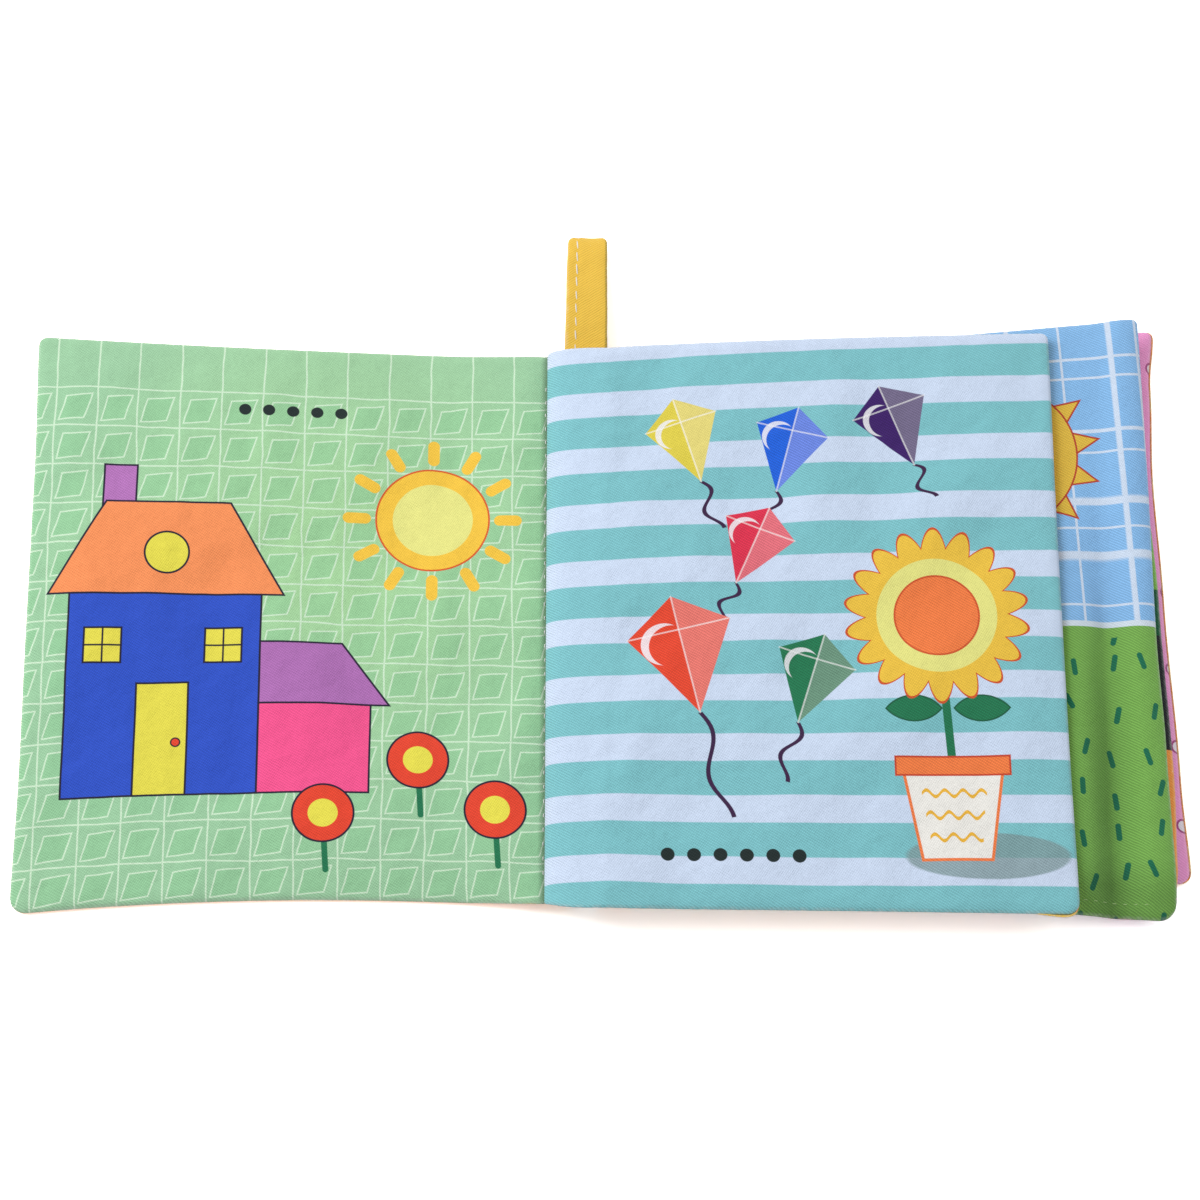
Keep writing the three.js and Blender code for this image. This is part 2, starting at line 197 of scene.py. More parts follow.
def settled(leaf, face, counts):
    """Cloth simulation of one panel, at ten times its size: cut a little larger than its place and held
    along its seams, it buckles into soft folds. Heights in millimetres over the filled part."""
    scale, last_frame, deepest_fold = 0.01, 21, 1.1
    wide, tall = leaf["reach"] - leaf["pad_start"], leaf["top"] - leaf["foot"]
    across, up = np.linspace(0, wide, counts[0]), np.linspace(-tall / 2, tall / 2, counts[1])
    x, y = np.meshgrid(across, up, indexing="ij")
    start = 0.4 * waves(x, y * 0.7, 30, leaf["seed"] * 2 + face)
    start *= np.sin(np.pi * x / wide) * np.cos(np.pi * y / tall)
    mesh = bpy.data.meshes.new("loose_cloth")
    points = np.stack([x, y, start], axis=2).reshape(-1, 3) * scale
    mesh.from_pydata(points.tolist(), [], grid_faces(*counts).tolist())
    loose = bpy.data.objects.new("loose_cloth", mesh)
    bpy.context.scene.collection.objects.link(loose)
    index = np.arange(x.size).reshape(counts)
    sewn = np.unique(np.concatenate([index[0], index[-1], index[:, 0], index[:, -1]]))
    loose.vertex_groups.new(name="sewn").add(sewn.tolist(), 1.0, "REPLACE")
    cloth = loose.modifiers.new("cloth", "CLOTH")
    cloth.collision_settings.use_collision = False
    twill = cloth.settings
    twill.quality, twill.mass, twill.bending_stiffness, twill.bending_damping = 4, 0.2, 2.0, 0.5
    twill.tension_stiffness = twill.compression_stiffness = twill.shear_stiffness = 15
    twill.vertex_group_mass, twill.shrink_min = "sewn", -0.006
    twill.effector_weights.gravity = 0
    for step in range(1, last_frame + 1):
        bpy.context.scene.frame_set(step)
    shaped = loose.evaluated_get(bpy.context.evaluated_depsgraph_get())
    found = np.empty(x.size * 3, np.float32)
    shaped.data.vertices.foreach_get("co", found)
    bpy.data.objects.remove(loose)
    bpy.context.scene.frame_set(1)
    return np.tanh(found.reshape(*counts, 3)[..., 2] / scale / deepest_fold) * 0.95


def fold_heights(leaf, layout, face):
    """The simulated folds of a panel, smoothly read at the points of its mesh."""
    counts = (37, 41)
    folds = leaf.setdefault("folds", {})
    if face not in folds:
        folds[face] = settled(leaf, face, counts)

    def weights(places, count):
        reach = np.abs(places[:, None] - np.arange(count)[None, :])
        beside = np.where(reach < 2, (2 - reach) ** 3 / 6, 0)
        near = np.where(reach < 1, 2 / 3 - reach**2 + reach**3 / 2, beside)
        return near / near.sum(axis=1)[:, None]

    along = weights(ramp(layout["out"], layout["pad_length"]) * (counts[0] - 1), counts[0])
    up = weights((layout["across"] + 1) / 2 * (counts[1] - 1), counts[1])
    return along @ folds[face] @ up.T


def filled_out(distance, run):
    """How far the filling has lifted the cloth at a distance from a sewn edge, from 0 to 1."""
    return (1 - (1 - ramp(distance, run)) ** 2.2) ** 0.75


def leaf_surface(leaf, layout, face):
    """Points of the upper (face 1) or lower (face -1) cloth of a leaf."""
    y, to_free, to_side, seed = layout["y"], layout["to_free"], layout["to_side"], leaf["seed"]
    out = layout["out"][:, None] * np.ones_like(y)
    x_flat = layout["line_x"][:, None] + layout["x_shift"]
    d_edge = np.minimum(to_free, to_side)

    # The filling lifts the cloth from its sewn edges. Gathers run in from them, the seam
    # allowance makes a low ridge beside them, and the cloth ripples where it is lifted.
    rim_round, gather_run, allowance_at, allowance_height = 0.75, 5, 2.2, 0.16
    round_rim = np.sqrt(1 - (1 - ramp(d_edge, rim_round)) ** 2)
    from_spine = np.maximum(out + leaf.get("soft_root", 0), 0)
    lift = filled_out(from_spine, leaf.get("spine_run", 18)) * filled_out(to_free, edge_run)
    lift *= filled_out(to_side, edge_run)
    gathers = waves(x_flat, y * 0.25, 9, seed + 3) * np.exp(-to_side / gather_run)
    gathers += waves(x_flat * 0.25, y, 10, seed + 4) * np.exp(-to_free / gather_run)
    gathers *= ramp(d_edge, 1.2)
    spine_gathers = waves(x_flat * 0.15, y, 7, seed + 9) * bell(out - 1, 7)
    allowance = bell(d_edge - allowance_at, 1.4) * allowance_height
    soft = waves(x_flat, y * 0.45, 34, seed + face) * 0.7
    soft += waves(x_flat, y * 0.6, 15, seed + 20 + face) * 0.32
    crumple = waves(x_flat, y, 7.5, seed + 40 + face, 9) * 0.09
    ripple = leaf["waves"] if face > 0 else 0.14
    height = rim_half * round_rim + (leaf_half_thickness - rim_half) * lift + allowance * (out > 0)
    folds = fold_heights(leaf, layout, face)
    height += lift * ((soft * 0.7 + folds) * ripple + crumple) - ripple * 0.7 * lift
    height += 0.2 * gathers + 0.16 * spine_gathers * (out > -8)

    # The unfilled strip is thin, and swells where it runs into the filled part.
    to_pad = np.clip(1 + out / 7, 0, 1)
    pad_first = np.maximum(height[layout["strip_count"]], 0.5)[None, :]
    strip_height = strip_half + np.clip(0.1 * spine_gathers, -0.08, 0.15) * (1 - to_pad)
    strip_height += (pad_first - strip_half) * to_pad**2 * (3 - 2 * to_pad)
    height = np.where(out <= 0, strip_height, height)
    height = np.maximum(height, 0.38) * np.clip(d_edge / 0.4, 0.12, 1)

    # The heights stand square on the leaf's middle line, which rises towards the spine.
    near_spine = np.clip(1 - np.maximum(layout["out"], 0) / 36, 0, 1)
    middle_line = layout["line_z"] + leaf.get("rise", 0) * near_spine**2.2 * (layout["out"] > 0)
    droop = 0.55 * np.exp(-d_edge / 6) * ramp(out, 20)
    along = np.gradient(np.stack([layout["line_x"], middle_line], axis=1), axis=0)
    along *= leaf["side"] / np.linalg.norm(along, axis=1)[:, None]
    normal_x, normal_z = -along[:, 1], along[:, 0]
    if not leaf.get("rise"):
        normal_x[layout["strip_count"]:], normal_z[layout["strip_count"]:] = 0, 1
    x = x_flat + face * height * normal_x[:, None]
    z = middle_line[:, None] - droop + face * height * normal_z[:, None]
    if leaf.get("sag"):
        moved = leaf["sag"](np.abs(x_flat), y)
        inner = ramp(d_edge, 9) if face < 0 else 0
        follows = np.maximum(moved, 0) * 0.6 + np.minimum(moved, 0) * leaf.get("gives_way", 0.5)
        z = z + moved * (1 - inner) + follows * inner
    askew = 0.0062
    x = x - askew * y * np.clip(layout["share"][:, None] * 2, 0, 1)
    return np.stack([x, y, np.maximum(z, above_table)], axis=2)


def cloth_piece(name, points, faces, cloth_at, to_edge, finish):
    """A smooth mesh from points in millimetres. Each point keeps its place on the flat cloth and its
    distance from the cloth's edge, for the finish to read."""
    mesh = bpy.data.meshes.new(name)
    mesh.from_pydata((points * mm).tolist(), [], faces)
    cloth_at, to_edge = cloth_at.astype(np.float32).ravel(), to_edge.astype(np.float32).ravel()
    mesh.attributes.new("cloth_at", "FLOAT_VECTOR", "POINT").data.foreach_set("vector", cloth_at)
    mesh.attributes.new("to_edge", "FLOAT", "POINT").data.foreach_set("value", to_edge)
    mesh.shade_smooth()
    mesh.materials.append(finish)
    piece = bpy.data.objects.new(name, mesh)
    bpy.context.scene.collection.objects.link(piece)
    return piece


def grid_piece(name, points, cloth_at, finish, to_edge=None, flip=False):
    """A cloth piece from a grid of points."""
    quads = grid_faces(*points.shape[:2])
    if flip:
        quads = quads[:, ::-1]
    if to_edge is None:
        to_edge = np.full(points.shape[:2], far_from_edge)
    return cloth_piece(name, points.reshape(-1, 3), quads.tolist(), cloth_at, to_edge, finish)


def thicken(piece, thickness):
    """Gives a sheet its thickness, on the side away from its face."""
    solid = piece.modifiers.new("thickness", "SOLIDIFY")
    solid.thickness, solid.offset, solid.use_even_offset = thickness * mm, -1, False


def flat_place(leaf, layout, face):
    """The place of each point on the flat printed cloth: across from the spine, and up from the middle."""
    across_page = (leaf["pad_start"] + layout["out"])[:, None] + leaf["side"] * layout["x_shift"]
    up_page = layout["up_page"] * (leaf["top"] - leaf["foot"]) / 2
    return np.stack([across_page * leaf["side"] * face, up_page, np.zeros_like(up_page)], axis=2)


def leaf_cloth(leaf, face, finish):
    """One printed cloth of a leaf, from the spine seam to the turned edge, which bends at the spine."""
    word = "upper" if face > 0 else "lower"
    layout = leaf_layout(leaf, middle_step=1.25, edge_step=0.22, face=face)
    piece = grid_piece(
        f"{leaf['name']}_{word}_cloth", leaf_surface(leaf, layout, face), flat_place(leaf, layout, face),
        finish, np.minimum(layout["to_free"], layout["to_side"]), flip=leaf["side"] * face < 0,
    )
    thicken(piece, cloth_thickness)
    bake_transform(piece)
    nodes = [f"{leaf['name']}_{word}_panel"]
    if face > 0:
        nodes.append(f"{leaf['name']}_hinge_strip")
    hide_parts(*nodes)


def leaf_filling(leaf):
    """The crinkle film and the wadding sheet between the two cloths of a leaf."""
    inset, share_of_height = 7, 0.91
    below_cloth, crease_depth, below_film, above_cloth, thinnest_pile = 0.22, 0.07, 0.3, 0.15, 0.4
    layout = leaf_layout(leaf, middle_step=leaf.get("filling_step", 3.2), edge_step=2.0)
    keep_rows = np.where((layout["out"] > inset) & (layout["out"] < layout["pad_length"] - inset))[0]
    keep_columns = np.where(np.abs(layout["across"]) < share_of_height)[0]
    pick = np.ix_(keep_rows, keep_columns)
    under_face = leaf_surface(leaf, layout, 1)[pick]
    over_back = leaf_surface(leaf, layout, -1)[pick]
    place = flat_place(leaf, layout, 1)[pick]
    to_edge = np.minimum(layout["to_free"], layout["to_side"])[pick]
    crease = waves(under_face[..., 0], under_face[..., 1], 11, leaf["seed"] + 60, 9) * crease_depth
    film = under_face.copy()
    film[..., 2] += crease - cloth_thickness - below_cloth
    film_piece = grid_piece(f"{leaf['name']}_film", film, place, film_finish, to_edge, flip=leaf["side"] < 0)
    thicken(film_piece, film_thickness)
    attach(film_piece, leaf["name"])
    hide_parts(f"{leaf['name']}_crinkle_film")

    # The wadding sheet is one grid that runs over the top, round the sides and under the foot,
    # drawn together at its two ends.
    pile_top, pile_foot = film.copy(), over_back.copy()
    pile_top[..., 2] -= below_film
    fluff = waves(film[..., 0], film[..., 1], 9, leaf["seed"] + 70) * 0.05
    pile_foot[..., 2] += cloth_thickness + above_cloth + fluff
    pile_foot[..., 2] = np.minimum(pile_foot[..., 2], pile_top[..., 2] - thinnest_pile)
    closed = np.concatenate([pile_foot[:, :1], pile_top, pile_foot[:, ::-1]], axis=1)
    closed_place = np.concatenate([place[:, :1], place, place[:, ::-1]], axis=1)
    first_end, last_end = ((row + row[:, ::-1]) / 2 for row in (closed[:1], closed[-1:]))
    closed = np.concatenate([first_end, closed, last_end], axis=0)
    closed_place = np.concatenate([closed_place[:1], closed_place, closed_place[-1:]], axis=0)
    block = grid_piece(
        f"{leaf['name']}_wadding_sheet", closed, closed_place, wadding_finish, flip=leaf["side"] < 0)
    block.modifiers.new("closed", "WELD").merge_threshold = 0.00001
    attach(block, leaf["name"])
    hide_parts(f"{leaf['name']}_wadding")


def sew_leaf(leaf, upper_finish, lower_finish):
    """A whole leaf: its two printed cloths and the filling between them."""
    leaf_cloth(leaf, 1, upper_finish)
    leaf_cloth(leaf, -1, lower_finish)
    leaf_filling(leaf)


def rgb(code):
    """A printed colour, from its six-figure code, as light the shader reads."""
    parts = [int(code[i : i + 2], 16) / 255 for i in (0, 2, 4)]
    return tuple(p / 12.92 if p <= 0.04045 else ((p + 0.055) / 1.055) ** 2.4 for p in parts) + (1.0,)


class Finish:
    """The shader nodes of a material or of the studio. Each method adds nodes and gives what they put out."""

    def __init__(self, owner):
        owner.use_nodes = True
        self.owner, self.tree = owner, owner.node_tree
        self.tree.nodes.clear()

    def node(self, kind, feeds=None, **settings):
        """A node with its settings made, and its inputs fed by values or by other nodes."""
        made = self.tree.nodes.new(kind)
        for key, value in settings.items():
            setattr(made, key, value)
        for key, value in (feeds or {}).items():
            if isinstance(value, bpy.types.NodeSocket):
                self.tree.links.new(value, made.inputs[key])
            else:
                made.inputs[key].default_value = value
        return made

    def math(self, operation, a, b=0.0, c=0.0, clamp=False):
        made = self.node("ShaderNodeMath", {0: a, 1: b, 2: c}, operation=operation, use_clamp=clamp)
        return made.outputs[0]

    def less(self, a, b):
        return self.math("SUBTRACT", a, b)

    def scaled(self, value, times, plus=0.0, clamp=False):
        return self.math("MULTIPLY_ADD", value, times, plus, clamp)

    def sine(self, value, times):
        return self.math("SINE", self.math("MULTIPLY", value, times))

    def vector(self, operation, a, b=(0, 0, 0), c=(0, 0, 0), scale=1.0):
        made = self.node("ShaderNodeVectorMath", {0: a, 1: b, 2: c, 3: scale}, operation=operation)
        return made.outputs["Value" if operation in ("DOT_PRODUCT", "LENGTH", "DISTANCE") else "Vector"]

    def turned(self, vector, angle):
        feeds = {"Vector": vector, "Angle": angle}
        return self.node("ShaderNodeVectorRotate", feeds, rotation_type="Z_AXIS").outputs["Vector"]

    def mixed(self, share, a, b, blend="MIX"):
        feeds = {"Factor": share, "A": a, "B": b}
        return self.node("ShaderNodeMix", feeds, data_type="RGBA", blend_type=blend).outputs["Result"]

    def bump(self, strength, depth, height, over=None):
        feeds = {"Strength": strength, "Distance": depth * mm, "Height": height}
        return self.node("ShaderNodeBump", {**feeds, "Normal": over} if over else feeds).outputs[0]

    def finished(self, shader, feeds, result="ShaderNodeOutputMaterial"):
        self.node(result, {0: self.node(shader, feeds).outputs[0]})
        return self.owner


navy, ink_dark = "1e1932", "1c2a2a"


class Print(Finish):
    """A printed cloth. Shapes give distances in millimetres on the flat cloth, and ink() prints them."""

    def __init__(self, name, ground, lean=0.0):
        super().__init__(bpy.data.materials.new(name))
        self.flat = self.node("ShaderNodeAttribute", attribute_name="cloth_at").outputs["Vector"]
        self.at = self.turned(self.flat, math.radians(lean)) if lean else self.flat
        self.colour = rgb(ground)

    def axis(self, name, of=None):
        return self.node("ShaderNodeSeparateXYZ", {0: of or self.at}).outputs[name]

    def noise(self, scale, detail=2.0, roughness=0.5):
        feeds = {"Vector": self.flat, "Scale": scale, "Detail": detail, "Roughness": roughness}
        return self.node("ShaderNodeTexNoise", feeds).outputs[0]

    def disc(self, x, y, radius):
        return self.less(self.vector("DISTANCE", self.at, (x, y, 0)), radius)

    def polygon(self, *corners):
        """A convex shape, its corners given anticlockwise."""
        shape = None
        for (ax, ay), (bx, by) in zip(corners, corners[1:] + corners[:1]):
            length = math.hypot(bx - ax, by - ay)
            nx, ny = (by - ay) / length, (ax - bx) / length
            side = self.less(self.vector("DOT_PRODUCT", self.at, (nx, ny, 0)), nx * ax + ny * ay)
            shape = side if shape is None else self.both(shape, side)
        return shape

    def box(self, x0, y0, x1, y1):
        return self.polygon((x0, y0), (x1, y0), (x1, y1), (x0, y1))

    def stroke(self, ax, ay, bx, by, half_width, of=None):
        """A round-ended line."""
        run = (bx - ax, by - ay, 0)
        from_start = self.vector("SUBTRACT", of or self.at, (ax, ay, 0))
        share = 1 / (run[0] ** 2 + run[1] ** 2)
        along = self.math("MULTIPLY", self.vector("DOT_PRODUCT", from_start, run), share, clamp=True)
        aside = self.vector("SUBTRACT", from_start, self.vector("SCALE", run, scale=along))
        return self.less(self.vector("LENGTH", aside), half_width)

    def wavy(self, x, y, length, turn, swing, wave, half_width):
        """A line that snakes away from a point, in the direction it is turned to."""
        turned = self.turned(self.vector("SUBTRACT", self.at, (x, y, 0)), -math.radians(turn))
        along, aside = self.axis("X", turned), self.axis("Y", turned)
        snake = self.math("MULTIPLY", self.sine(along, math.tau / wave), swing)
        line = self.less(self.math("ABSOLUTE", self.less(aside, snake)), half_width * 1.2)
        ends = self.less(self.math("ABSOLUTE", self.less(along, length / 2)), length / 2)
        return self.both(line, ends)

    def either(self, *shapes):
        found = shapes[0]
        for shape in shapes[1:]:
            found = self.math("MINIMUM", found, shape)
        return found

    def both(self, a, b):
        return self.math("MAXIMUM", a, b)

    def rim_of(self, shape, width):
        return self.less(self.math("ABSOLUTE", shape), width / 2)

    def repeat(self, value, pitch, offset=0.0):
        """Distance from the middle of the nearest of evenly spaced lines."""
        moved = self.math("ADD", value, pitch / 2 - offset)
        return self.math("ABSOLUTE", self.less(self.math("FLOORED_MODULO", moved, pitch), pitch / 2))

    def ink(self, shape, code, softness=0.16, strength=1.0):
        mask = self.scaled(shape, -1 / softness, 0.5, clamp=True)
        if strength != 1.0:
            mask = self.math("MULTIPLY", mask, strength)
        self.colour = self.mixed(mask, self.colour, rgb(code))

    def outlined(self, shape, code, line=navy, width=0.55):
        self.ink(shape, code)
        self.ink(self.rim_of(shape, width), line)

    def shade(self, amount):
        """Multiplies the printed colour by a value around 1."""
        grey = self.node("ShaderNodeCombineColor", {0: amount, 1: amount, 2: amount}).outputs[0]
        self.colour = self.mixed(1.0, self.colour, grey, "MULTIPLY")

    def weave(self, painted_rib_shade=1.0, rib_pitch=0.66, rib_turn=58.0, rib_depth=0.085, sheen=0.12, roughness=0.78):
        """Twill ribs with painted shade in their grooves, fibre grain, uneven ink, worn turned edges and small
        creases of the film beneath.
        """
        turn = math.radians(rib_turn)
        rib_at = self.vector("DOT_PRODUCT", self.flat, (math.cos(turn), math.sin(turn), 0))
        rib_at = self.scaled(self.noise(0.35, 1.0), 0.35, rib_at)
        rib = self.sine(rib_at, math.tau / rib_pitch)
        cross = self.vector("DOT_PRODUCT", self.flat, (-math.sin(turn), math.cos(turn), 0))
        yarn = self.sine(cross, math.tau / (rib_pitch * 0.8))
        grain, blotch = self.noise(3.1), self.noise(0.045, 3.0)

        # The ribs darken the printed colour: partly the twill's own yarn tone, partly painted shade in the
        # grooves. It shows more on dark inks than on pale ones, and is set stronger for a page that lies in
        # grazing light.
        paleness = self.node("ShaderNodeRGBToBW", {0: self.colour}).outputs[0]
        depth = self.math("MINIMUM", self.math("MAXIMUM", self.scaled(paleness, -0.3, 0.25), 0.03), 0.16)
        tone = self.scaled(rib, self.math("MULTIPLY", depth, painted_rib_shade), 0.90)
        for part, share in ((yarn, 0.018), (grain, 0.10), (blotch, 0.08)):
            tone = self.scaled(part, share, tone)
        self.shade(tone)

        # The turned edges are rubbed pale in places.
        edge = self.node("ShaderNodeAttribute", attribute_name="to_edge").outputs["Fac"]
        rub = self.math(
            "MULTIPLY", self.scaled(edge, -1 / 0.9, 1.0, clamp=True),
            self.scaled(self.noise(0.6, 3.0), 1.6, -0.45, clamp=True))
        self.colour = self.mixed(self.math("MULTIPLY", rub, 0.45), self.colour, rgb("f2f0ee"))
        relief = self.bump(0.75, rib_depth, self.scaled(grain, 0.8, self.scaled(yarn, 0.3, rib)))
        relief = self.bump(0.55, 1.1, self.noise(0.16, 3.0, roughness=0.55), relief)
        return self.finished("ShaderNodeBsdfPrincipled", {
            "Base Color": self.colour, "Roughness": self.scaled(grain, 0.14, roughness - 0.07, clamp=True),
            "Specular IOR Level": 0.25, "Sheen Weight": sheen, "Sheen Roughness": 0.5, "Normal": relief})


def around(x, y, radius, turn):
    """A point on a circle."""
    return x + radius * math.cos(turn), y + radius * math.sin(turn)


yellow, golden, red, leaf_green = "e6dc4e", "f7c843", "e8452c", "1e7850"

# The garden page: a pale grid with a leaning open frame in each square, and a house with
# round flowers beside it.
garden = Print("garden_page_cloth", "9dcca3")
garden.ink(garden.disc(-68, 18, 48), "a8d7a0", softness=70)
cell, cell_from, pale_line = 11.5, (3.0, 9.5), "d0ebce"
page_at = garden.at
sketchy = garden.vector("SUBTRACT", garden.noise(0.07).node.outputs["Color"], (0.5, 0.5, 0.5))
garden.at = garden.vector("ADD", garden.at, garden.vector("SCALE", sketchy, scale=1.5))
below_margin = garden.less(garden.axis("Y"), 67.5)
grid_x = garden.repeat(garden.axis("X"), cell, cell_from[0])
grid_y = garden.both(garden.repeat(garden.axis("Y"), cell, cell_from[1]), below_margin)
garden.at = garden.vector("WRAP", garden.vector("SUBTRACT", garden.at, (*cell_from, 0)), c=(cell, cell, 1))
frame_shape = garden.both(garden.polygon((1.0, 1.5), (7.9, 2.2), (10.0, 9.4), (2.8, 8.7)), below_margin)
garden.ink(frame_shape, "8fca97", strength=0.55)
garden.ink(garden.rim_of(frame_shape, 0.4), pale_line, softness=0.22)
garden.ink(garden.less(garden.either(grid_x, grid_y), 0.22), pale_line, softness=0.22)
garden.at = page_at
chimney, wall = garden.box(-132, 30, -123, 44), garden.box(-140, -52, -88, 6)
shed, door = garden.box(-88, -52, -58, -26), garden.box(-121, -52, -107, -20)
roof = garden.polygon((-146, 6), (-82, 6), (-97, 33), (-131, 33))
shed_roof = garden.polygon((-88, -26), (-53, -26), (-66, -8), (-88, -8))
for house_part, house_colour in (
    (chimney, "b473b9"), (wall, "2b51c6"), (roof, "f7935a"), (shed, "f65591"), (shed_roof, "b06fb5"),
    (door, yellow),
):
    garden.outlined(house_part, house_colour)
garden.outlined(garden.disc(-110, -37, 1.2), red, width=0.4)
for window_x in (-130.5, -98):
    garden.outlined(garden.box(window_x - 5, -14, window_x + 5, -4), yellow)
    garden.ink(garden.stroke(window_x, -14, window_x, -4, 0.25), navy)
    garden.ink(garden.stroke(window_x - 5, -9, window_x + 5, -9, 0.25), navy)
garden.outlined(garden.disc(-114, 18, 6), yellow)
for flower_x, flower_y in ((-45, -42), (-70, -58), (-24, -56)):
    garden.ink(garden.stroke(flower_x, flower_y, flower_x + 1, flower_y - 16, 0.8), leaf_green)
    garden.outlined(garden.disc(flower_x, flower_y, 8.2), red)
    garden.outlined(garden.disc(flower_x, flower_y, 4.2), "ebe150", line=red, width=0.4)
garden_sun = (-42, 30)
for ray in range(12):
    turn = math.tau * ray / 12
    garden.ink(garden.stroke(*around(*garden_sun, 18.5, turn), *around(*garden_sun, 23, turn), 1.6), golden)
garden.outlined(garden.disc(*garden_sun, 15.5), golden, line="dc5a28", width=0.5)
garden.ink(garden.disc(*garden_sun, 11), "e9e788")
for dot in range(5):
    garden.ink(garden.disc(-94 + 6.6 * dot, 62, 1.7), ink_dark)
# Painted shade: the page is darkened towards the gutter beside the striped leaf's fold, where shade falls.
painted_gutter_shade = garden.scaled(garden.axis("X"), 1 / 1.6, 12.6 / 1.6, clamp=True)
garden.shade(garden.scaled(painted_gutter_shade, -0.5, 1.0))
# The garden page is lit square on, so its ribs get weaker painted shade.
garden_cloth = garden.weave(painted_rib_shade=0.7)

# The outside of the front cover: plain orange with three nested arcs and scattered dots.
outside_front = Print("front_outside_cloth", "f2a03c")
arch_x, arch_y = 82, -18
upper_half = outside_front.less(arch_y, outside_front.axis("Y"))
for arch_radius, arch_colour in ((52, "eb462d"), (42, "ebe150"), (32, "5ab4e6"), (22, "f2a03c")):
    arch = outside_front.disc(arch_x, arch_y, arch_radius)
    outside_front.ink(outside_front.both(arch, upper_half), arch_colour)
outside_front.ink(outside_front.either(*(outside_front.disc(dot_x, dot_y, 3.2) for dot_x, dot_y in (
    (30, 52), (58, 60), (104, 60), (132, 50), (24, -50), (50, -60), (112, -60), (138, -48)))), "fff4dc")
outside_front_cloth = outside_front.weave()

# Inside: a clear, creased film, and wadding of loose fibre.
film_print = Finish(bpy.data.materials.new("crinkle_film_finish"))
film_at = film_print.node("ShaderNodeAttribute", attribute_name="cloth_at").outputs["Vector"]
film_creases = {"Vector": film_at, "Scale": 0.14}
film_creases = film_print.node("ShaderNodeTexVoronoi", film_creases, feature="DISTANCE_TO_EDGE")
to_crease = film_creases.outputs["Distance"]
film_finish = film_print.finished("ShaderNodeBsdfPrincipled", {
    "Base Color": film_print.mixed(to_crease, rgb("cfd8dd"), rgb("f1f5f7")), "Roughness": 0.22,
    "Coat Weight": 0.4, "Normal": film_print.bump(0.8, 0.4, to_crease)})
wadding_print = Print("wadding_fibre", "f3f1ea")
wadding_print.shade(wadding_print.scaled(wadding_print.noise(0.9, 5.0, roughness=0.7), 0.16, 0.9))
wadding_finish = wadding_print.weave(rib_pitch=2.3, rib_turn=20, rib_depth=0.2, sheen=0.3, roughness=0.92)

sew_leaf(front_cover, garden_cloth, outside_front_cloth)

# BACK COVER
# The bottom leaf of the stack on the right, made as the front cover is. It lies a little
# askew, so its pink dotted page shows as a sliver along the free edge.
back_cover = dict(
    name="back_cover", parent="spine", side=1, middle=1.9, root=2.1, pad_start=12.0,
    crest=10.1, shoulder=4.5, reach=158.5, top=87.3, foot=-70.4,
    root_foot=-75.4, foot_bend=0.6, top_dip=0.6, foot_dip=1.0, radius=3.2, top_radius=2.0,
    free_edge=((-70, 158.4), (-42, 157.3), (8, 156.0), (43, 155.2), (70, 156.2), (87, 157.9)),
    seed=23, waves=0.2, free_peek=0.45,
)
dotted = Print("dotted_page_cloth", "ffa9df")
dotted.at = dotted.vector("WRAP", dotted.at, (0, 10.9, 0), (15, -10.9, 1))
dots = dotted.disc(7.4, 2.1, 2.0)
dotted.ink(dots, "f6ecf6")
dotted.ink(dotted.rim_of(dots, 0.5), "b4508c")
outside_back = Print("back_outside_cloth", "f2a03c")
outside_back.ink(outside_back.less(outside_back.repeat(outside_back.axis("Y"), 26, 6), 3.4), "f7c873")
sew_leaf(back_cover, dotted.weave(), outside_back.weave())

# THIRD LEAF
# Made like the covers, and hidden in the stack apart from a dark and green sliver beside
# the sky page. It shows a road between a hedge and bare ground when it is turned to.
fold_lean = 0.014


def deeper_at_foot(y):
    """The dip near the free end hardly shows at the top of the page, and is deepest at its foot."""
    return np.clip((71 - y) / 110, 0.1, 1)


def pressed(x, y):
    """The leaf above dips near its free end, and this one gives way under it."""
    return -2.2 * bell(x - 138.7 - fold_lean * y, 4.6) * deeper_at_foot(y)


third_leaf = dict(
    name="third_leaf", parent="back_cover", side=1, middle=6.0, root=1.05, pad_start=9.0,
    crest=11.85, shoulder=10.7, reach=154.5, top=84.5, foot=-77.0,
    root_foot=-76, foot_bend=1.8, top_dip=0.6, foot_dip=0.6, radius=3.4,
    free_edge=((-78, 153.4), (-66, 154.6), (-44, 155.2), (7, 154.2), (40, 153.0), (85, 151.8)),
    seed=37, waves=0.14, sag=pressed, gives_way=0.1, filling_step=1.6,
)
road = Print("road_page_cloth", "7dbb4e")
road_y = road.axis("Y")
for band_top, band_colour in ((6.0, "14603c"), (-7.0, "1c2226"), (-39.0, "f9a54e")):
    road.ink(road.less(road_y, band_top), band_colour)
lane_x = road.less(road.repeat(road.axis("X"), 22, 10), 6)
lane_y = road.less(road.math("ABSOLUTE", road.math("ADD", road_y, 23)), 1.2)
road.ink(road.both(lane_x, lane_y), "f4ecd2")
for tree_x, tree_y in ((36, 40), (78, 46), (120, 38)):
    road.outlined(road.box(tree_x - 2.5, tree_y - 26, tree_x + 2.5, tree_y - 6), "8c4b28")
    crown = ((0, 0, 13), (-9, -5, 9), (9, -5, 9))
    crown = (road.disc(tree_x + x, tree_y + y, radius) for x, y, radius in crown)
    road.outlined(road.either(*crown), leaf_green)
third_back = Print("third_leaf_back_cloth", "86cbca")
ripple_y = third_back.scaled(third_back.sine(third_back.axis("X"), 0.19), 3.0, third_back.axis("Y"))
third_back.ink(third_back.less(third_back.repeat(ripple_y, 17), 2.4), "d6e8f4")
sew_leaf(third_leaf, road.weave(), third_back.weave())

